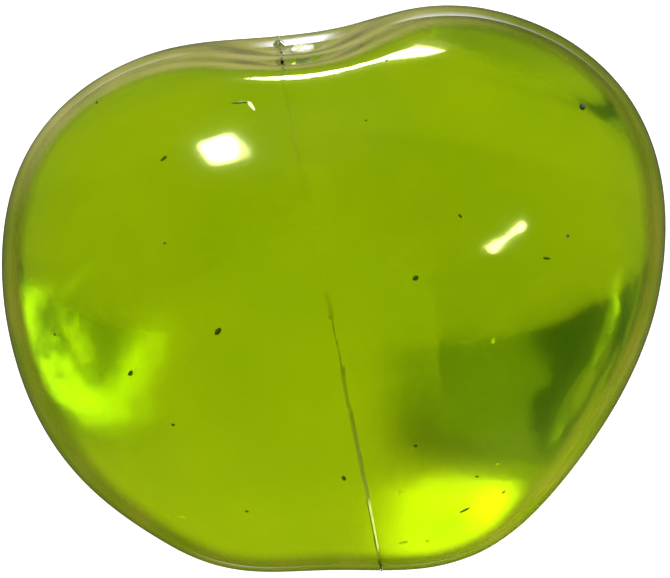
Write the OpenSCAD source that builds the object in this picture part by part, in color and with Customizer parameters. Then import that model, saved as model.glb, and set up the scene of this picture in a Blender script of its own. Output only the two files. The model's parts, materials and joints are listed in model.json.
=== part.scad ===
// Gel stress ball: a clear rubber skin in two welded halves, filled with lime gel
// and closed by a plug at the back. It lies slumped on a table, with a bean-like
// waist at the top of its back. X runs to the right, Y to the back, Z up.

/* [Body] */
// Width of the slumped ball before its lobes swell
body_w = 67.5; // [60:0.5:76]
// Depth from front to back before its lobes swell
body_d = 59; // [54:0.5:66]
// Height that the ball would have if the table did not flatten it
body_h = 52; // [48:0.5:60]
// Height of the ball's middle over the table
middle_z = 20; // [18:0.5:23]
// Height over which the sides roll into the flat underside
sag_roll = 3; // [2:0.5:5]
// Fullness of the form: 2 is an ellipsoid and more is boxier
fullness = 2.5; // [2.2:0.1:2.8]

/* [Lobes] */
// Depth of the waist at the top of the back
waist_dip = 5.8; // [3:0.1:7]
// Swell of the large crown at the right
right_swell = 2.3; // [0:0.1:3]
// Swell of the low crown at the left
left_swell = 2.5; // [0:0.1:3]
// Flattening of the right flank, low at the front
flank_flat = 3.3; // [0:0.1:4]
// Flattening of the left shoulder, at the back
shoulder_flat = 2.4; // [0:0.1:3]
// Swell of the foot to the right of the front dip
right_foot = 2.5; // [0:0.1:3]
// Swell of the foot to the left of the front dip
left_foot = 2; // [0:0.1:3]

/* [Skin] */
// Thickness of the skin over the lobes, where it is stretched
lobe_wall = 0.5; // [0.4:0.05:0.7]
// Thickness of the skin at the crown of the back
crown_wall = 1.2; // [1.1:0.05:1.5]

/* [Seam] */
// Angle from the right pole of the ball to the seam
seam_at = 93; // [92:0.5:95]
// Thickness of the weld between the two halves
weld_t = 0.3; // [0.3:0.05:0.6]
// Height of the bead that the weld leaves outside
weld_bead = 0.12; // [0.05:0.01:0.3]
// Height of the rib that the weld leaves inside
weld_rib = 0.5; // [0.2:0.05:0.7]

/* [Filling port] */
// Direction of the port round the ball, from the right
port_turn = 101; // [98:0.5:102]
// Direction of the port above the horizon
port_lift = 35.5; // [34:0.5:40]
// Outer diameter of the neck that stands inside the skin
neck_d = 3.4; // [3.2:0.1:3.6]
// Length of the neck from the outside of the skin
neck_l = 2.6; // [2:0.1:3.2]
// Bore of the neck
bore_d = 1.8; // [1.4:0.1:2]
// Diameter of the recess that holds the plug's head
recess_d = 2.6; // [2.4:0.1:2.8]
// Depth of that recess
recess_depth = 0.8; // [0.6:0.1:1]

/* [Plug] */
// Thickness of the plug's head
head_t = 0.45; // [0.3:0.05:0.55]
// Length of the barb past the inner end of the neck
barb_l = 0.7; // [0.4:0.1:1]
// Diameter of the barb that snaps behind the neck
barb_d = 2.3; // [2.1:0.1:2.6]
// Height of the glue dome over the edge of the recess
glue_dome = 0.2; // [0.1:0.05:0.4]

/* [Gel] */
// Depth of the air pocket that the gel leaves round the neck
pocket_depth = 5; // [4.5:0.1:7]
// Spread of that pocket as an angle from the middle of the ball
pocket_spread = 9; // [8:0.5:12]

/* [Hidden] */

FIT = 0.05;        // gap of a loose fit, and of the gel under the skin
SECTORS = 60;      // facets round the seam
RINGS = 16;        // rings of facets from a pole to the seam
BORE_FN = 48;      // smoothness of what is round
CROWN_SPREAD = 42; // angle over which the skin thins from its crown
NEAR_STEP = 0.02;  // half step, in radians, for finding which way a surface faces
SEAM_TURN = 8.5;   // direction of the right pole, round and up
SEAM_LEAN = 7;

// ---- directions, measured round from +X and up from the horizon ----
function heading(turn, lift) = [cos(lift) * cos(turn), cos(lift) * sin(turn), sin(lift)];

// share from 1 at direction d down to 0, over an angle called spread
function near(u, d, spread) = exp((u * d - 1) / pow(spread * PI / 180, 2));

function sum(list) = list * [for (entry = list) 1];

// each lobe is [direction, rise, spread]
LOBES = [
    [heading(103, 44), -waist_dip, 13.5],
    [heading(20, 22), right_swell, 26],
    [heading(172, 13), left_swell, 25],
    [heading(-29, -22), -flank_flat, 21],
    [heading(139, 29), -shoulder_flat, 18],
    [heading(-60, -36), right_foot, 16],
    [heading(-115, -37), left_foot, 11],
];

// ---- the ball's surface, as a distance from its middle ----
function share(along, size) = pow(abs(along) * 2 / size, fullness);
function plump(u) = pow(share(u.x, body_w) + share(u.y, body_d) + share(u.z, body_h), -1 / fullness);
function radius(u) = plump(u) + sum([for (lobe = LOBES) lobe[1] * near(u, lobe[0], lobe[2])]);

// the table presses everything lower than it up to z = 0, with a soft roll
function settle(z) = z <= -sag_roll ? 0 : z >= sag_roll ? z : pow(z + sag_roll, 2) / (4 * sag_roll);

// outside of the ball in direction u
function outside(u) = let (p = radius(u) * u) [p.x, p.y, settle(middle_z + p.z)];

// the way out of the surface there, from two short steps across it
function unit(v) = v / norm(v);
function across(u, way) = outside(unit(u + way * NEAR_STEP)) - outside(unit(u - way * NEAR_STEP));
function outward(u) =
    let (a = unit(cross(u, abs(u.z) < 0.9 ? [0, 0, 1] : [1, 0, 0])), b = cross(u, a))
    unit(cross(across(u, a), across(u, b)));

// ---- the net of directions round the right pole ----
POLE = heading(SEAM_TURN, SEAM_LEAN);
SIDE = heading(SEAM_TURN + 90, 0);
UPRIGHT = cross(POLE, SIDE);
function net(from_pole, round) =
    cos(from_pole) * POLE + sin(from_pole) * (cos(round) * SIDE + sin(round) * UPRIGHT);

// the ball is moved so that its box is centred over the origin
ALL_SPOTS = [for (a = [4 : 4 : 176], b = [0 : 4 : 356]) outside(net(a, b))];
function middle_of(values) = (min(values) + max(values)) / 2;
SHIFT = [-middle_of([for (p = ALL_SPOTS) p.x]), -middle_of([for (p = ALL_SPOTS) p.y]), 0];

// spot at a depth square under the surface, never lower than the table
function spot(u, depth) = let (p = outside(u) + SHIFT - depth * outward(u)) [p.x, p.y, max(p.z, 0)];

// ---- the filling port, square to the skin where it stands ----
PORT_U = heading(port_turn, port_lift);
PORT_OUT = outward(PORT_U);
module at_port() {
    translate(spot(PORT_U, 0))
        rotate([0, acos(PORT_OUT.z), atan2(PORT_OUT.y, PORT_OUT.x)])
            children();
}

// ---- depths: a station is [angle from the right pole, walls deep, extra depth, pockets deep] ----
function wall(u) = lobe_wall + (crown_wall - lobe_wall) * near(u, heading(90, 40), CROWN_SPREAD);
function pocket(u) = pocket_depth * near(u, PORT_U, pocket_spread);
function station_spot(s, round) =
    let (u = net(s[0], round))
    spot(u, s[1] * wall(u) + s[2] + s[3] * pocket(u));

WELD_HALF = weld_t / body_d * 180 / PI; // half of the weld, as an angle
RIGHT_RIM = seam_at - WELD_HALF;
LEFT_RIM = seam_at + WELD_HALF;

// one square of the net as two triangles, cut along either diagonal
function cut(a, b, c, d, other) = other ? [[a, b, d], [b, c, d]] : [[a, b, c], [a, c, d]];
function band(first, second, other = false) = [
    for (i = [0 : SECTORS - 1])
        let (k = (i + 1) % SECTORS)
        each cut(first + i, first + k, second + k, second + i, other)
];

// solid between two poles: rows of spots from one pole to the other
module capped(stations, way, other = false) {
    rows = [for (s = stations) [for (i = [0 : SECTORS - 1]) station_spot(s, way * i * 360 / SECTORS)]];
    last = len(stations) - 1;
    inner = [for (r = [1 : last - 1]) each rows[r]];
    points = concat([rows[0][0]], inner, [rows[last][0]]);
    end = len(points) - 1;
    faces = concat(
        [for (i = [0 : SECTORS - 1]) [0, 1 + (i + 1) % SECTORS, 1 + i]],
        [for (r = [0 : last - 3]) each band(1 + r * SECTORS, 1 + (r + 1) * SECTORS, other)],
        [for (i = [0 : SECTORS - 1]) [end, end - SECTORS + i, end - SECTORS + (i + 1) % SECTORS]]
    );
    polyhedron(points, faces, convexity = 6);
}

// solid ring: rows of spots that come back to the first
module ring(stations) {
    rows = [for (s = stations) each [for (i = [0 : SECTORS - 1]) station_spot(s, i * 360 / SECTORS)]];
    count = len(stations);
    faces = [for (r = [0 : count - 1]) each band(r * SECTORS, (r + 1) % count * SECTORS)];
    polyhedron(rows, [for (f = faces) [f[0], f[2], f[1]]], convexity = 6);
}

// outer wall from the pole to the rim, and inner wall back to the pole
function half_shell(pole, rim) = concat(
    [for (k = [0 : RINGS]) [pole + (rim - pole) * k / RINGS, 0, 0, 0]],
    [for (k = [RINGS : -1 : 0]) [pole + (rim - pole) * k / RINGS, 1, 0, 0]]
);

// ---- sub-parts ----
module skin_left() {
    color([0.88, 0.88, 0.76, 0.5])
        capped(half_shell(180, LEFT_RIM), -1);
}

// the right half carries the filling neck, moulded on its inside
module skin_right() {
    neck_top = 0.5;
    color([0.88, 0.88, 0.76, 0.5])
        difference() {
            union() {
                capped(half_shell(0, RIGHT_RIM), 1);
                at_port() translate([0, 0, -neck_l])
                    cylinder(d = neck_d, h = neck_l - neck_top, $fn = BORE_FN);
            }
            at_port() translate([0, 0, -neck_l - 1])
                cylinder(d = bore_d, h = neck_l + 2, $fn = BORE_FN);
            at_port() translate([0, 0, -recess_depth])
                cylinder(d = recess_d, h = recess_depth + 1, $fn = BORE_FN);
        }
}

// plastic squeezed out of the joint: a low bead outside and a sharper rib inside
module seam_weld() {
    color([0.72, 0.74, 0.5])
        ring([
            [RIGHT_RIM, 0, 0, 0],
            [RIGHT_RIM, 1, 0, 0],
            [seam_at, 1, weld_rib, 0],
            [LEFT_RIM, 1, 0, 0],
            [LEFT_RIM, 0, 0, 0],
            [seam_at, 0, -weld_bead, 0],
        ]);
}

// gel that fills the skin, with a groove for the rib and an air pocket round the neck;
// its squares are cut like those on the inside of the skins, so the gap stays even
module gel_filling() {
    groove = WELD_HALF * 1.7;
    color([0.6, 0.78, 0.05])
        capped(concat(
            [for (k = [0 : RINGS - 1]) [RIGHT_RIM * k / RINGS, 1, FIT, 1]],
            [[seam_at - groove, 1, FIT, 1]],
            [[seam_at, 1, weld_rib + 2 * FIT, 1]],
            [[seam_at + groove, 1, FIT, 1]],
            [for (k = [RINGS - 1 : -1 : 0]) [180 - (180 - LEFT_RIM) * k / RINGS, 1, FIT, 1]]
        ), 1, other = true);
}

// soft plug pushed in from outside: a head, a stem and a barb
module fill_plug() {
    head_r = recess_d / 2 - FIT;
    stem_r = bore_d / 2 - FIT;
    barb_r = barb_d / 2;
    seat = -recess_depth;
    inner_end = -neck_l - FIT;
    color([0.93, 0.94, 0.9])
        at_port() rotate_extrude($fn = BORE_FN)
            polygon([
                [0, seat + head_t],
                [head_r - 0.1, seat + head_t],
                [head_r, seat + head_t - 0.1],
                [head_r, seat],
                [stem_r, seat],
                [stem_r, inner_end],
                [barb_r, inner_end],
                [stem_r * 0.6, inner_end - barb_l],
                [0, inner_end - barb_l],
            ]);
}

// drop of clear glue that covers the head and fills the recess
module plug_seal() {
    glue_r = recess_d / 2 - FIT;
    bottom = -recess_depth + head_t;
    crown = glue_dome;
    color([0.96, 0.97, 0.94])
        at_port() rotate_extrude($fn = BORE_FN)
            polygon(concat(
                [[0, bottom], [glue_r, bottom]],
                [for (a = [0 : 15 : 90]) [glue_r * cos(a), crown * sin(a)]]
            ));
}

skin_left();
skin_right();
seam_weld();
gel_filling();
fill_plug();
plug_seal();
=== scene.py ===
"""Gel stress ball: clear rubber skin in two welded halves round lime gel, plugged at the back."""
import json
import math

import bpy
from mathutils import Matrix, Vector, noise

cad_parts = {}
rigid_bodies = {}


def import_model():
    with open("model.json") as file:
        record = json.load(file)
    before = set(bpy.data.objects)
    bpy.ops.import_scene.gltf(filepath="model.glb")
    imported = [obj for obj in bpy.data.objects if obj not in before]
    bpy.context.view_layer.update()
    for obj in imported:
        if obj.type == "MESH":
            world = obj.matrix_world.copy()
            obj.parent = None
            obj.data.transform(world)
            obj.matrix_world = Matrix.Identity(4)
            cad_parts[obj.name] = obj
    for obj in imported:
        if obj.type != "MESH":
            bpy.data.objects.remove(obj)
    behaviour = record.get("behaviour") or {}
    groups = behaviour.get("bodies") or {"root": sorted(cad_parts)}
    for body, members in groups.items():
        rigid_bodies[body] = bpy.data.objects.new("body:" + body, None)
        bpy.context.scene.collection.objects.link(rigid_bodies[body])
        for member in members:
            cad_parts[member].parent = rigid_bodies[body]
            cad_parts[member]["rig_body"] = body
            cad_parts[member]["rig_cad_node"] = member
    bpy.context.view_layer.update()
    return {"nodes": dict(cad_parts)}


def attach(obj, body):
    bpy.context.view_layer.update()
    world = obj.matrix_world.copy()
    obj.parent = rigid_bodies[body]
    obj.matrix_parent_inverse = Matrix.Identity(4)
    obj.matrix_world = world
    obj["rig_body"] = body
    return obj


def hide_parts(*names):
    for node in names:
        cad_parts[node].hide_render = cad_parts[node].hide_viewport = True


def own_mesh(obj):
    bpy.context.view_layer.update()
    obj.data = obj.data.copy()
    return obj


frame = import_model()
for shown in bpy.context.selected_objects:
    shown.select_set(False)

# ---------------------------------------------------------------- table, room, lamps and camera
# A white table that glows a little, as a light table does, in a pale room. Three lamps give the
# hard highlights: a long one low at the back, a square one at the back left, a tube at the right.
MM = 0.001
CAMERA_LIFT, CAMERA_AWAY, LENS = 50, 0.3, 150
AIM = Vector((0.1, -0.9, 19.3)) * MM
LAMP_AIM = Vector((0, 0, 30)) * MM


def heading(turn, lift):
    """Unit vector at an angle round from +X and an angle up from the horizon, in degrees."""
    turn, lift = math.radians(turn), math.radians(lift)
    return Vector((math.cos(lift) * math.cos(turn), math.cos(lift) * math.sin(turn), math.sin(lift)))


camera_data = bpy.data.cameras.new("camera")
camera_data.lens = LENS
camera_data.sensor_width = 36
camera_data.clip_start = 0.01
camera = bpy.data.objects.new("camera", camera_data)
bpy.context.scene.collection.objects.link(camera)
camera.location = AIM + CAMERA_AWAY * heading(-90, CAMERA_LIFT)
camera.rotation_euler = (math.radians(90 - CAMERA_LIFT), 0, 0)
bpy.context.scene.camera = camera
bpy.context.scene.view_settings.view_transform = "Standard"


no_sheen = bpy.data.collections.new("no_sheen")  # thin clear pieces that the lamps pass by


def lamp(name, turn, lift, width, height, power, roll=0, tint=(1, 1, 1)):
    """Rectangular lamp a metre off, facing the ball."""
    data = bpy.data.lights.new(name, "AREA")
    data.shape = "RECTANGLE"
    data.size = width
    data.size_y = height
    data.energy = power
    data.color = tint
    holder = bpy.data.objects.new(name, data)
    bpy.context.scene.collection.objects.link(holder)
    holder.location = LAMP_AIM + heading(turn, lift)
    holder.light_linking.receiver_collection = no_sheen
    holder.visible_transmission = False
    holder.rotation_euler = (LAMP_AIM - holder.location).to_track_quat("-Z", "Y").to_euler()
    holder.rotation_euler.rotate_axis("Z", math.radians(roll))


lamp("strip_lamp", 91, 13, 0.24, 0.07, 4, roll=-52, tint=(1, 1, 0.5))
lamp("square_lamp", 112, 48, 0.10, 0.14, 4)
lamp("tube_lamp", 7, 56, 0.28, 0.035, 3, roll=-40, tint=(1, 1, 0.85))


class Web:
    """Short hand for wiring a node tree: nodes by type, values or sockets as inputs."""

    def __init__(self, tree):
        self.nodes, self.links = tree.nodes, tree.links

    def add(self, kind, inputs=None, **settings):
        node = self.nodes.new(kind)
        for setting, value in settings.items():
            setattr(node, setting, value)
        for place, value in (inputs or {}).items():
            if isinstance(value, bpy.types.NodeSocket):
                self.links.new(value, node.inputs[place])
            else:
                node.inputs[place].default_value = value
        return node

    def math(self, operation, *values):
        return self.add("ShaderNodeMath", dict(enumerate(values)), operation=operation).outputs[0]

    def vector_math(self, operation, first, second):
        """Number from two vectors."""
        return self.add("ShaderNodeVectorMath", {0: first, 1: second}, operation=operation).outputs["Value"]

    def ramp(self, value, low, high, bottom=0.0, top=1.0):
        """Bottom up to low, top from high on, and smooth between."""
        inputs = {"Value": value, "From Min": low, "From Max": high, "To Min": bottom, "To Max": top}
        return self.add("ShaderNodeMapRange", inputs, interpolation_type="SMOOTHSTEP").outputs["Result"]

    def toward(self, vector, aim):
        """Cosine of the angle between a vector and a fixed direction."""
        unit = self.add("ShaderNodeVectorMath", {0: vector}, operation="NORMALIZE").outputs[0]
        return self.vector_math("DOT_PRODUCT", unit, aim)

    def mix(self, share, first, second):
        """Colour between two colours."""
        node = self.add("ShaderNodeMix", data_type="RGBA")
        for place, value in (("Factor", share), (6, first), (7, second)):
            if isinstance(value, bpy.types.NodeSocket):
                self.links.new(value, node.inputs[place])
            else:
                node.inputs[place].default_value = value
        return node.outputs[2]


def degrees_off(angle):
    return math.cos(math.radians(angle))


world = bpy.data.worlds.new("room")
bpy.context.scene.world = world
world.use_nodes = True
room = Web(world.node_tree)
look = room.add("ShaderNodeTexCoord").outputs["Generated"]


def sky_patch(turn, lift, inner, outer, strength):
    """Round soft patch: strength inside the inner angle, fading to 0 at the outer angle."""
    nearness = room.toward(look, heading(turn, lift))
    return room.ramp(nearness, degrees_off(outer), degrees_off(inner), 0, strength)


ROOM_GLOW, LEAST_GLOW, MIRRORED_SHARE = 1.3, 0.02, 0.05
glow = room.math("ADD", ROOM_GLOW, sky_patch(104, 47, 8, 17, 2.9))
glow = room.math("SUBTRACT", glow, sky_patch(120, 80, 4, 18, 0.82))
# the room is dark to what mirrors it, as with black cards round the ball, so no veil lies on the gel
path = room.add("ShaderNodeLightPath").outputs
seen = room.math("MAXIMUM", path["Is Transmission Ray"], path["Is Diffuse Ray"])
seen = room.math("MAXIMUM", seen, MIRRORED_SHARE)
glow = room.math("MULTIPLY", room.math("MAXIMUM", glow, LEAST_GLOW), seen)
room.links.new(glow, world.node_tree.nodes["Background"].inputs["Strength"])
world.node_tree.nodes["Background"].inputs["Color"].default_value = (1, 1, 1, 1)


def new_material(name, **inputs):
    """Principled material; underscores in a setting's name stand for spaces."""
    material = bpy.data.materials.new(name)
    material.use_nodes = True
    shader = material.node_tree.nodes["Principled BSDF"]
    for place, value in inputs.items():
        shader.inputs[place.replace("_", " ")].default_value = value
    return material, Web(material.node_tree), shader


bpy.ops.mesh.primitive_plane_add(size=6)
table = bpy.context.active_object
table.name = "table_top"
TABLE_GLOW, PAINTED_CAUSTIC_GLOW = 1.2, 9
white = {"Base_Color": (0.1, 0.1, 0.1, 1), "Emission_Color": (1, 1, 1, 1)}
table_paint, web, coat = new_material("table_paint", Roughness=0.6, **white)
spot = web.add("ShaderNodeTexCoord").outputs["Object"]
# painted light: a bright spot glows on the table in front of the ball, standing for the light of the lamps
# behind it that the ball gathers there
painted_caustic_middle = Vector((32, -46, 0)) * MM
away = web.vector_math("DISTANCE", spot, painted_caustic_middle)
glow_and_painted_caustic = web.math("ADD", TABLE_GLOW, web.ramp(away, 19 * MM, 7 * MM, 0, PAINTED_CAUSTIC_GLOW))
web.links.new(glow_and_painted_caustic, coat.inputs["Emission Strength"])
path = web.add("ShaderNodeLightPath").outputs
mirrored = web.math("SUBTRACT", path["Is Reflection Ray"], path["Is Diffuse Ray"])
dim = web.add("ShaderNodeBsdfDiffuse", {"Color": (0.03, 0.03, 0.03, 1)}).outputs[0]
paint = web.add("ShaderNodeMixShader", {0: mirrored, 1: coat.outputs[0], 2: dim}).outputs[0]
web.links.new(paint, web.nodes["Material Output"].inputs["Surface"])
table.data.materials.append(table_paint)

# Where the soft underside sticks to the table, no air is left between them and the table shows
# straight through the gel. This sheet, a hair inside the gel, glows lime as painted light in place of the
# lit table seen there; at the right and at the back the underside has let go of the table and the sheet is
# clear.
WET_MIDDLE, WET_RADIUS = Vector((-1, -1, 0.8)) * MM, 19.5 * MM
bpy.ops.mesh.primitive_circle_add(vertices=64, radius=WET_RADIUS, fill_type="NGON", location=WET_MIDDLE)
wet_contact_glow_sheet = bpy.context.active_object
wet_contact_glow_sheet.name = "wet_contact_glow_sheet"
bpy.ops.object.transform_apply(location=True, rotation=True, scale=True)
bpy.ops.object.mode_set(mode="EDIT")
bpy.ops.mesh.bisect(plane_co=(9 * MM, 0, 0), plane_no=(1, 0, 0), clear_outer=True)
bpy.ops.object.mode_set(mode="OBJECT")
lime_light = {"Base_Color": (0, 0, 0, 1), "Emission_Color": (0.56, 0.66, 0, 1), "Emission_Strength": 1.25}
painted_contact_glow, web, contact_glow_shader = new_material("painted_contact_glow", **lime_light)
spot = web.add("ShaderNodeTexCoord").outputs["Object"]
x, y, z = web.add("ShaderNodeSeparateXYZ", {0: spot}).outputs
from_middle = web.vector_math("DISTANCE", spot, WET_MIDDLE)
lifted = web.math("MULTIPLY", web.ramp(x, 0, 8 * MM), web.ramp(y, 13 * MM, 8 * MM))
lifted = web.math("MAXIMUM", lifted, web.ramp(from_middle, 14 * MM, 19 * MM))
air = web.add("ShaderNodeBsdfTransparent").outputs[0]
paint = web.add("ShaderNodeMixShader", {0: lifted, 1: contact_glow_shader.outputs[0], 2: air}).outputs[0]
web.links.new(paint, web.nodes["Material Output"].inputs["Surface"])
wet_contact_glow_sheet.data.materials.append(painted_contact_glow)

# ---------------------------------------------------------------- gel filling
# One soft mass of syrup-thick lime gel, poured in through the neck. It wets the inside of the skin,
# but for an air pocket round the neck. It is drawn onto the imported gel's form and smoothed.
MIDDLE = Vector((0.5, 0, 20)) * MM
SEAM_TURN, SEAM_LEAN = 8.5, 7
SEAM_AXIS = heading(SEAM_TURN, SEAM_LEAN)
SWELL = 0.17 * MM  # what smoothing takes off the form
MOST_THROWS = 3.5  # reflections inside the gel, past which light counts as lost in it


def pick(*pieces):
    """Selects these pieces alone, and makes the first the active one."""
    bpy.ops.object.select_all(action="DESELECT")
    for piece in pieces:
        piece.select_set(True)
    bpy.context.view_layer.objects.active = pieces[0]


def twin_of(piece, name):
    twin = piece.copy()
    twin.data = piece.data.copy()
    twin.name = name
    bpy.context.scene.collection.objects.link(twin)
    return twin


def mould_of(name, parts):
    """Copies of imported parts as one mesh, to draw a form onto."""
    copies = []
    for part in parts:
        copy = twin_of(frame["nodes"][part], name)
        copy.parent = None
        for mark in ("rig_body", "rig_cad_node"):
            del copy[mark]
        copies.append(copy)
    pick(*copies)
    if len(copies) > 1:
        bpy.ops.object.join()
    return copies[0]


def add_modifier(piece, kind, **settings):
    modifier = piece.modifiers.new(kind.lower(), kind)
    for setting, value in settings.items():
        setattr(modifier, setting, value)
    return modifier


def settle(piece):
    """Applies the modifiers, and the place of the object, to the mesh."""
    pick(piece)
    for modifier in list(piece.modifiers):
        bpy.ops.object.modifier_apply(modifier=modifier.name)
    bpy.ops.object.transform_apply(location=True, rotation=True, scale=True)


def drawn_form(name, mould):
    """Ball of even squares, lined up with the seam, drawn inwards onto a mould and smoothed."""
    underside = min(vertex.co.z for vertex in mould.data.vertices)
    bpy.ops.mesh.primitive_cube_add(size=0.1, location=MIDDLE)
    form = bpy.context.active_object
    form.name = name
    form.rotation_euler = (0, -math.radians(SEAM_LEAN), math.radians(SEAM_TURN))
    bpy.ops.object.mode_set(mode="EDIT")
    bpy.ops.mesh.subdivide(number_cuts=23)
    bpy.ops.object.mode_set(mode="OBJECT")
    add_modifier(form, "CAST", factor=1, radius=0, use_radius_as_size=False, size=0.06)
    add_modifier(
        form, "SHRINKWRAP", target=mould, wrap_method="PROJECT",
        use_negative_direction=True, use_positive_direction=False,
    )
    add_modifier(form, "SMOOTH", factor=0.5, iterations=2)
    add_modifier(form, "SUBSURF", levels=2, render_levels=2)
    add_modifier(form, "DISPLACE", strength=SWELL, mid_level=0)
    settle(form)
    for vertex in form.data.vertices:
        vertex.co.z = max(vertex.co.z, underside)
    bpy.ops.object.shade_smooth()
    bpy.data.objects.remove(mould)
    return form


def pinched_with(piece, body):
    """Rides on one half of the ball, with a mesh of its own."""
    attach(piece, body)
    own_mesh(piece)


def new_group(name, sockets):
    """Node group with an interface of (in or out, socket type, name, value)."""
    group = bpy.data.node_groups.new(name, "ShaderNodeTree")
    for way, kind, label, value in sockets:
        socket = group.interface.new_socket(label, in_out=way, socket_type=kind)
        if value is not None:
            socket.default_value = value
    tree = Web(group)
    return group, tree, tree.add("NodeGroupInput").outputs, tree.add("NodeGroupOutput").inputs


# Soft stuff is never even: its colour drifts from one shade to another in slow clouds, and its
# surface rises and falls with them, under a much finer grain.
clouded, tree, given, made = new_group("clouded", [
    ("INPUT", "NodeSocketColor", "Shade", (1, 1, 1, 1)),
    ("INPUT", "NodeSocketColor", "Other Shade", (1, 1, 1, 1)),
    ("INPUT", "NodeSocketFloat", "Clouds", 90),
    ("INPUT", "NodeSocketFloat", "Grain", 2500),
    ("OUTPUT", "NodeSocketColor", "Color", None),
    ("OUTPUT", "NodeSocketFloat", "Height", None),
])
spot = tree.add("ShaderNodeTexCoord").outputs["Object"]
coarse = {"Vector": spot, "Scale": given["Clouds"], "Detail": 3}
clouds = tree.add("ShaderNodeTexNoise", coarse).outputs["Fac"]
fine = {"Vector": spot, "Scale": given["Grain"], "Detail": 2}
grain = tree.add("ShaderNodeTexNoise", fine).outputs["Fac"]
tree.links.new(tree.mix(tree.ramp(clouds, 0.3, 0.7), given["Shade"], given["Other Shade"]), made["Color"])
tree.links.new(tree.math("MULTIPLY_ADD", grain, 0.05, clouds), made["Height"])


def cloud_over(web, shader, shade, other, clouds, grain, depth):
    """Puts the clouded group on a shader's colour and normal; depth is in millimetres."""
    node = web.add("ShaderNodeGroup")
    node.node_tree = clouded
    for place, value in (("Shade", shade), ("Other Shade", other), ("Clouds", clouds), ("Grain", grain)):
        if isinstance(value, bpy.types.NodeSocket):
            web.links.new(value, node.inputs[place])
        else:
            node.inputs[place].default_value = value
    relief = {"Strength": 1, "Distance": depth * MM, "Height": node.outputs["Height"]}
    bump = web.add("ShaderNodeBump", relief)
    web.links.new(node.outputs["Color"], shader.inputs["Base Color"])
    web.links.new(bump.outputs["Normal"], shader.inputs["Normal"])


gel = drawn_form("gel", mould_of("gel_mould", ["gel_filling"]))
lime_gel, web, syrup = new_material(
    "lime_gel", Roughness=0.09, IOR=1.49, Transmission_Weight=1, Specular_Tint=(0.9, 1, 0.3, 1)
)
cloud_over(web, syrup, (0.28, 0.405, 0, 1), (0.35, 0.45, 0, 1), 90, 300, 0.1)
# painted light: past many reflections inside the gel, the gel glows a faint even green in place of the light
# thrown about in it
painted_glow_depth = web.math("GREATER_THAN", web.add("ShaderNodeLightPath").outputs["Glossy Depth"], MOST_THROWS)
web.links.new(web.mix(painted_glow_depth, (0, 0, 0, 1), (0.06, 0.125, 0, 1)), syrup.inputs["Emission Color"])
syrup.inputs["Emission Strength"].default_value = 1
dye = web.add("ShaderNodeVolumeAbsorption", {"Color": (0.95, 0.966, 0.0, 1), "Density": 140})
web.links.new(dye.outputs["Volume"], web.nodes["Material Output"].inputs["Volume"])
gel.data.materials.append(lime_gel)
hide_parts("gel_filling")
pinched_with(gel, "left_half")

# ---------------------------------------------------------------- left half of the skin
# Clear thermoplastic rubber, moulded as a cup and heat welded at its rim. The wall is half a
# millimetre where the ball's weight stretches it and over a millimetre at the back.
SEAM_SHIFT = -1.47 * MM
SEAM_AT = MIDDLE + SEAM_SHIFT * SEAM_AXIS
WELD_HALF = 0.15 * MM
CROWN_WALL, LOBE_WALL = 1.2 * MM, 0.5 * MM
CROWN = heading(90, 40)
CROWN_SPREAD = math.radians(42)
DRY = heading(118, 35)
FACE_ON, EDGE_ON, DRY_SHIFT = 0.60, 0.78, 0.045
LEAST_SHOW = 0.03
RIM_SQUARENESS = 0.7


def keep_side(piece, offset, side):
    """Cuts the piece along the seam, at an offset, and keeps its right (1) or left (-1) side."""
    pick(piece)
    bpy.ops.object.mode_set(mode="EDIT")
    bpy.ops.mesh.select_all(action="SELECT")
    cut_at = SEAM_AT + offset * SEAM_AXIS
    bpy.ops.mesh.bisect(plane_co=cut_at, plane_no=SEAM_AXIS, clear_inner=side > 0, clear_outer=side < 0)
    bpy.ops.object.mode_set(mode="OBJECT")


def give_wall(piece):
    """Wall inwards from the surface, as thick at each place as the crown group says."""
    group = piece.vertex_groups.new(name="crown")
    for vertex in piece.data.vertices:
        angle_term = (vertex.co - MIDDLE).normalized().dot(CROWN) - 1
        group.add([vertex.index], math.exp(angle_term / CROWN_SPREAD**2), "REPLACE")
    add_modifier(
        piece, "SOLIDIFY", thickness=CROWN_WALL, offset=-1,
        vertex_group="crown", thickness_vertex_group=LOBE_WALL / CROWN_WALL,
    )
    settle(piece)


skin_form = drawn_form("skin_form", mould_of("skin_mould", ["skin_left", "skin_right", "seam_weld"]))

# Against the gel the rubber takes the gel's colour, and where it stands free it is straw grey.
# Face on it all but vanishes, and edge on its whole depth shows.
clear_rubber, web, film = new_material("clear_rubber", Roughness=0.08, IOR=1.45, Specular_IOR_Level=0.25)
spot = web.add("ShaderNodeTexCoord").outputs["Object"]
outward = web.add("ShaderNodeVectorMath", {0: spot, 1: MIDDLE}, operation="SUBTRACT").outputs[0]
dry = web.ramp(web.toward(outward, DRY), degrees_off(62), degrees_off(30))
shade = web.mix(dry, (0.15, 0.22, 0.0, 1), (0.46, 0.44, 0.13, 1))
other = web.mix(dry, (0.21, 0.23, 0.01, 1), (0.34, 0.36, 0.07, 1))
cloud_over(web, film, shade, other, 160, 1500, 0.03)
facing = web.add("ShaderNodeLayerWeight", {"Blend": 0.5}).outputs["Facing"]
facing = web.math("SUBTRACT", facing, web.math("MULTIPLY", dry, DRY_SHIFT))
web.links.new(web.ramp(facing, FACE_ON, EDGE_ON, LEAST_SHOW, 1), film.inputs["Alpha"])
# rubber melted into rubber has no surface of its own to see
fused_rubber, web, melt = new_material(
    "fused_rubber", Roughness=0.3, IOR=1.45, Specular_IOR_Level=0, Alpha=0.01
)
cloud_over(web, melt, (0.15, 0.22, 0.0, 1), (0.21, 0.23, 0.01, 1), 160, 1500, 0.03)


def clear_to_light(piece):
    """Keeps a thin clear piece out of the way of light that the gel has bent."""
    piece.visible_transmission = False
    piece.visible_shadow = False
    no_sheen.objects.link(piece)
    no_sheen.collection_objects[-1].light_linking.link_state = "EXCLUDE"


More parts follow.
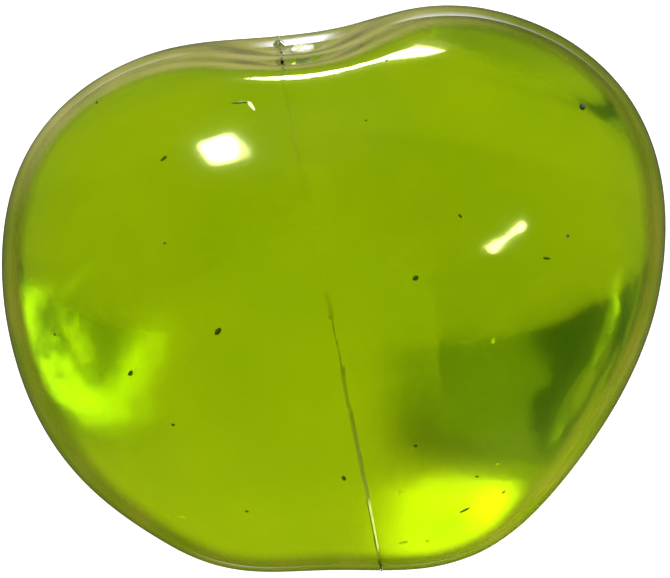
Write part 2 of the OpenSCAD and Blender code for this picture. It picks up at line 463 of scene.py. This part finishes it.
def fuse_rim(piece):
    """Fused rubber on the faces along the seam, where one piece is melted into the next."""
    piece.data.materials.append(fused_rubber)
    for face in piece.data.polygons:
        from_seam = abs((face.center - SEAM_AT).dot(SEAM_AXIS))
        if from_seam < WELD_HALF + 0.05 * MM and abs(face.normal.dot(SEAM_AXIS)) > RIM_SQUARENESS:
            face.material_index = 1


def finish_skin(piece, body, node):
    clear_to_light(piece)
    pick(piece)
    bpy.ops.object.shade_smooth_by_angle(angle=math.radians(40))
    piece.data.materials.append(clear_rubber)
    fuse_rim(piece)
    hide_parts(node)
    pinched_with(piece, body)


left_shell = twin_of(skin_form, "left_shell")
keep_side(left_shell, -WELD_HALF, -1)
give_wall(left_shell)
finish_skin(left_shell, "left_half", "skin_left")

# ---------------------------------------------------------------- right half of the skin
# The other cup. Near the middle of the back it carries the filling neck: a short tube moulded on
# its inside, with a bore for the filling needle and a recess outside for the plug's head.
PORT = Vector((-3.42, 20.22, 34.72)) * MM
PORT_OUT = heading(108.97, 66.1)
NECK_LENGTH, NECK_ROOT = 2.6 * MM, 0.6 * MM
NECK_RADIUS, NECK_FLARE = 1.7 * MM, 2.1 * MM
BORE_RADIUS = 0.9 * MM
RECESS_RADIUS, RECESS_DEPTH = 1.3 * MM, 0.8 * MM


def turned(name, profile, sides=48):
    """Solid of revolution at the port: from the first (radius, height) up to the last, capped."""
    (first_radius, first_height), *rest = profile
    bpy.ops.mesh.primitive_circle_add(
        vertices=sides, radius=first_radius, fill_type="NGON", location=(0, 0, first_height)
    )
    piece = bpy.context.active_object
    piece.name = name
    bpy.ops.object.transform_apply(location=True, rotation=True, scale=True)
    bpy.ops.object.mode_set(mode="EDIT")
    bpy.ops.mesh.select_all(action="SELECT")
    radius, height = first_radius, first_height
    for next_radius, next_height in rest:
        rise = (0, 0, next_height - height)
        bpy.ops.mesh.extrude_region_move(TRANSFORM_OT_translate={"value": rise})
        grow = next_radius / radius
        bpy.ops.transform.resize(value=(grow, grow, 1))
        radius, height = next_radius, next_height
    bpy.ops.mesh.select_all(action="SELECT")
    bpy.ops.mesh.normals_make_consistent(inside=False)
    bpy.ops.object.mode_set(mode="OBJECT")
    piece.matrix_world = Matrix.Translation(PORT) @ PORT_OUT.to_track_quat("Z", "Y").to_matrix().to_4x4()
    settle(piece)
    return piece


right_shell = twin_of(skin_form, "right_shell")
keep_side(right_shell, WELD_HALF, 1)
give_wall(right_shell)
neck = turned("neck", [
    (NECK_RADIUS - 0.15 * MM, -NECK_LENGTH),
    (NECK_RADIUS, -NECK_LENGTH + 0.15 * MM),
    (NECK_RADIUS, -1.7 * MM),
    (NECK_RADIUS + 0.1 * MM, -1.4 * MM),
    (NECK_FLARE, -1.15 * MM),
    (NECK_FLARE, -NECK_ROOT),
])
bore = turned("bore", [(BORE_RADIUS, -NECK_LENGTH - 1 * MM), (BORE_RADIUS, -RECESS_DEPTH + 0.1 * MM)])
recess = turned("recess", [
    (RECESS_RADIUS, -RECESS_DEPTH),
    (RECESS_RADIUS, -0.1 * MM),
    (RECESS_RADIUS + 0.5 * MM, 0.6 * MM),
])
for tool, operation in ((neck, "UNION"), (bore, "DIFFERENCE"), (recess, "DIFFERENCE")):
    add_modifier(right_shell, "BOOLEAN", object=tool, operation=operation, solver="EXACT")
settle(right_shell)
for tool in (neck, bore, recess):
    bpy.data.objects.remove(tool)
finish_skin(right_shell, "right_half", "skin_right")

# ---------------------------------------------------------------- seam weld
# Rubber squeezed out as the two cups are pressed together hot, which stands in a low bead outside.
# It is cloudier than the skin, and low at the front it has been pinched into a crease, painted pale along
# one side as a highlight.
BEAD = 0.12 * MM
CUT_GAP = 0.02 * MM
CREASE_TOP, CREASE_FOOT, CREASE_FRONT = 20.5 * MM, 10.5 * MM, -27.5 * MM
weld_bead = twin_of(skin_form, "weld_bead")
keep_side(weld_bead, CUT_GAP - WELD_HALF, 1)
keep_side(weld_bead, WELD_HALF - CUT_GAP, -1)
pick(weld_bead)
bpy.ops.object.mode_set(mode="EDIT")
bpy.ops.mesh.select_all(action="SELECT")
bpy.ops.mesh.bisect(plane_co=SEAM_AT, plane_no=SEAM_AXIS)
bpy.ops.object.mode_set(mode="OBJECT")
for vertex in weld_bead.data.vertices:
    in_middle = abs((vertex.co - SEAM_AT).dot(SEAM_AXIS)) < 0.01 * MM
    if in_middle and vertex.co.z > 0.5 * MM:
        vertex.co += BEAD * vertex.normal
give_wall(weld_bead)
bpy.ops.object.shade_smooth_by_angle(angle=math.radians(50))
cloudy_rubber, web, cloud = new_material("cloudy_rubber", Roughness=0.2, IOR=1.45)
spot = web.add("ShaderNodeTexCoord").outputs["Object"]
x, y, z = web.add("ShaderNodeSeparateXYZ", {0: spot}).outputs
across = web.vector_math("DOT_PRODUCT", spot, SEAM_AXIS)
seam_offset = SEAM_AT.dot(SEAM_AXIS)
# painted highlight: one side of the crease is painted pale lime, as a glint along it
crease_highlight_side = web.ramp(across, seam_offset - 0.02 * MM, seam_offset + 0.06 * MM)
crease = web.ramp(y, CREASE_FRONT + 1 * MM, CREASE_FRONT - 1 * MM)
crease = web.math("MULTIPLY", crease, web.ramp(z, CREASE_TOP + 1 * MM, CREASE_TOP - 1 * MM))
crease = web.math("MULTIPLY", crease, web.ramp(z, CREASE_FOOT - 1 * MM, CREASE_FOOT + 1 * MM))
painted_crease_highlight = web.math("MULTIPLY", crease_highlight_side, crease)
dry = web.ramp(y, 0, 8 * MM)
shade = web.mix(dry, (0.05, 0.08, 0.0, 1), (0.42, 0.43, 0.20, 1))
shade = web.mix(painted_crease_highlight, shade, (0.62, 0.75, 0.15, 1))
cloud_over(web, cloud, shade, shade, 400, 2500, 0.02)
front = web.ramp(y, -18 * MM, -24 * MM)
strength = web.ramp(front, 0, 1, 0.02, 0.22)
strength = web.math("MAXIMUM", strength, web.math("MULTIPLY", crease, 0.7))
facing = web.add("ShaderNodeLayerWeight", {"Blend": 0.5}).outputs["Facing"]
strength = web.math("MAXIMUM", strength, web.ramp(facing, 0.64, 0.82))
web.links.new(strength, cloud.inputs["Alpha"])
clear_to_light(weld_bead)
weld_bead.data.materials.append(cloudy_rubber)
fuse_rim(weld_bead)
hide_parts("seam_weld")
pinched_with(weld_bead, "left_half")

# ---------------------------------------------------------------- filling plug
# Soft milky plug pushed into the neck from outside once the ball is full: a flat head in the
# recess, a stem in the bore, and a barb that has snapped out behind the end of the neck.
FIT = 0.05 * MM
HEAD_RADIUS, STEM_RADIUS = RECESS_RADIUS - FIT, BORE_RADIUS - FIT
SEAT, HEAD_TOP = -RECESS_DEPTH, -RECESS_DEPTH + 0.45 * MM
BARB_RADIUS, BARB_TOP = 1.15 * MM, -NECK_LENGTH - FIT
plug = turned("plug", [
    (0.38 * MM, BARB_TOP - 0.70 * MM),
    (0.52 * MM, BARB_TOP - 0.64 * MM),
    (BARB_RADIUS - 0.05 * MM, BARB_TOP - 0.10 * MM),
    (BARB_RADIUS, BARB_TOP - 0.05 * MM),
    (BARB_RADIUS - 0.04 * MM, BARB_TOP),
    (STEM_RADIUS, BARB_TOP + 0.02 * MM),
    (STEM_RADIUS, SEAT - 0.05 * MM),
    (STEM_RADIUS + 0.05 * MM, SEAT),
    (HEAD_RADIUS - 0.04 * MM, SEAT),
    (HEAD_RADIUS, SEAT + 0.05 * MM),
    (HEAD_RADIUS, HEAD_TOP - 0.10 * MM),
    (HEAD_RADIUS - 0.10 * MM, HEAD_TOP),
    (0.45 * MM, HEAD_TOP),
    (0.35 * MM, HEAD_TOP - 0.15 * MM),
    (0.05 * MM, HEAD_TOP - 0.18 * MM),
])
bpy.ops.object.shade_smooth_by_angle(angle=math.radians(35))
milky_rubber, web, milk = new_material("milky_rubber", Roughness=0.35, IOR=1.45)
cloud_over(web, milk, (0.62, 0.64, 0.50, 1), (0.46, 0.48, 0.34, 1), 900, 4000, 0.02)
plug.data.materials.append(milky_rubber)
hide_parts("fill_plug")
pinched_with(plug, "right_half")

# ---------------------------------------------------------------- glue over the plug
# Drop of clear glue, put on last. It fills the recess over the plug's head, holds the plug in, and
# has set in a low uneven dome.
GLUE_RADIUS, GLUE_DOME = RECESS_RADIUS - FIT, 0.2 * MM
rings = [math.radians(angle) for angle in (0, 20, 40, 60, 78)]
foot = [(GLUE_RADIUS - 0.03 * MM, HEAD_TOP + 0.01 * MM), (GLUE_RADIUS, HEAD_TOP + 0.05 * MM)]
dome = [(GLUE_RADIUS * math.cos(a), GLUE_DOME * math.sin(a)) for a in rings]
glue = turned("glue_drop", foot + dome)
for vertex in glue.data.vertices:
    wobble = noise.noise(vertex.co * 900) * 0.04 * MM
    if (vertex.co - PORT).dot(PORT_OUT) > 0.02 * MM:
        vertex.co += wobble * PORT_OUT
bpy.ops.object.shade_smooth_by_angle(angle=math.radians(50))
clear_glue, web, drop = new_material("clear_glue", Roughness=0.1, IOR=1.5)
cloud_over(web, drop, (0.80, 0.82, 0.70, 1), (0.55, 0.58, 0.42, 1), 1200, 3000, 0.03)
spot = web.add("ShaderNodeTexCoord").outputs["Object"]
clouds = web.add("ShaderNodeTexNoise", {"Vector": spot, "Scale": 1500}).outputs["Fac"]
web.links.new(web.ramp(clouds, 0.35, 0.65, 0.35, 0.75), drop.inputs["Alpha"])
glue.data.materials.append(clear_glue)
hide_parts("plug_seal")
pinched_with(glue, "right_half")

# ---------------------------------------------------------------- bubbles and grit
# Small air bubbles that the stiff gel has kept near its surface, and grit on the tacky skin: dark
# specks, and a few bubbles that glow with a painted glint. Each is set by its direction from the ball's
# middle.


def under_skin(turn, lift, depth):
    """Place at a depth in millimetres under the outside of the skin, and the way out there."""
    place, normal = skin_form.ray_cast(MIDDLE, heading(turn, lift))[1:3]
    return place - depth * MM * normal, normal


def scatter(name, spots, depth, body, material):
    """One piece from all its specks: each spot is (turn, lift, width, length, roll)."""
    specks = []
    for turn, lift, width, length, roll in spots:
        place, normal = under_skin(turn, lift, depth)
        bpy.ops.mesh.primitive_ico_sphere_add(subdivisions=3, radius=0.5)
        speck = bpy.context.active_object
        across = Matrix.Rotation(math.radians(roll), 4, "Z") @ Matrix.Diagonal((length, width, width, 1))
        turn_out = normal.to_track_quat("Z", "Y").to_matrix().to_4x4()
        speck.matrix_world = Matrix.Translation(place) @ turn_out @ across @ Matrix.Scale(MM, 4)
        settle(speck)
        for vertex in speck.data.vertices:
            from_place = vertex.co - place
            vertex.co = place + from_place * (1 + 0.3 * noise.noise(vertex.co * 3000))
        specks.append(speck)
    pick(*specks)
    bpy.ops.object.join()
    piece = specks[0]
    piece.name = name
    bpy.ops.object.shade_smooth()
    piece.data.materials.append(material)
    pinched_with(piece, body)


dark_bubble, web, hollow = new_material("dark_bubble", Roughness=0.3)
cloud_over(web, hollow, (0.05, 0.09, 0.0, 1), (0.13, 0.20, 0.0, 1), 3000, 6000, 0.02)
# painted glint: these bubbles glow pale lime instead of reflecting the lamps
bright_bubble, web, glint_glow_shader = new_material("bright_bubble", Roughness=0.1, Emission_Strength=0.5)
cloud_over(web, glint_glow_shader, (0.9, 1.0, 0.35, 1), (0.6, 0.8, 0.1, 1), 3000, 6000, 0.02)
glint_glow_shader.inputs["Emission Color"].default_value = (0.8, 0.95, 0.2, 1)
grit, web, grain = new_material("grit", Roughness=0.7)
cloud_over(web, grain, (0.015, 0.02, 0.01, 1), (0.05, 0.05, 0.03, 1), 3000, 6000, 0.04)

scatter("dark_bubbles", [
    (-167, 53, 0.35, 0.8, 120), (-118, 36, 0.5, 0.8, 60), (-132, 22, 0.4, 0.8, 70), (-122, 15, 0.3, 0.35, 0),
    (-89, 6, 0.4, 0.7, 110), (-75, 14, 0.35, 0.4, 0), (-108, -6, 0.3, 0.4, 0), (-68, 48, 0.5, 0.6, 20),
    (-45, 55, 0.25, 0.5, 100), (-35, 39, 0.25, 0.9, 140), (-65, -8, 0.35, 1.4, 20), (-150, 18, 0.3, 0.4, 0),
    (62, 68, 0.2, 0.4, 0), (-14, 84, 0.2, 0.25, 0), (-63, 2, 0.25, 0.4, 0), (-57, -6, 0.3, 0.5, 60),
], 1.0, "left_half", dark_bubble)
scatter("bright_bubbles", [
    (-59, 4, 0.22, 0.3, 0), (-78, 1, 0.35, 0.4, 0), (-121, -12, 0.35, 1.0, 20), (-124, -13, 0.3, 0.5, 60),
    (-56, 32, 0.4, 0.5, 60), (-77, -17, 0.5, 0.9, 10), (-72, -17, 0.3, 0.6, 30),
], 1.0, "left_half", bright_bubble)
scatter("grit_right", [(10, 41, 0.6, 0.75, 30), (-28, 39, 0.3, 0.4, 0)], 0.0, "right_half", grit)
scatter("grit_left", [(-140, 45, 0.2, 0.3, 30), (165, 38, 0.25, 0.3, 0)], 0.0, "left_half", grit)

# ---------------------------------------------------------------- nick in the skin
# A small V-shaped nick on the left half: two lips of torn rubber that stand just proud of the skin,
# the one in its own shade painted dark and the one that faces the lamps painted bright as a highlight.
torn_rubber_painted_light, web, lip = new_material("torn_rubber_painted_light", Roughness=0.15, IOR=1.45)
spot = web.add("ShaderNodeTexCoord").outputs["Object"]
x, y, z = web.add("ShaderNodeSeparateXYZ", {0: spot}).outputs
# painted shade on the one lip and a painted highlight on the other, split at a fixed x
shade = web.mix(web.ramp(x, -8.9 * MM, -8.5 * MM), (0.06, 0.10, 0, 1), (0.85, 0.95, 0.45, 1))
cloud_over(web, lip, shade, shade, 2000, 5000, 0.02)
lips = [(171, 68.5, 0.22, 1.7, 125), (174, 71, 0.4, 1.5, 55)]
scatter("nick_lips", lips, 0.05, "left_half", torn_rubber_painted_light)
bpy.data.objects.remove(skin_form)
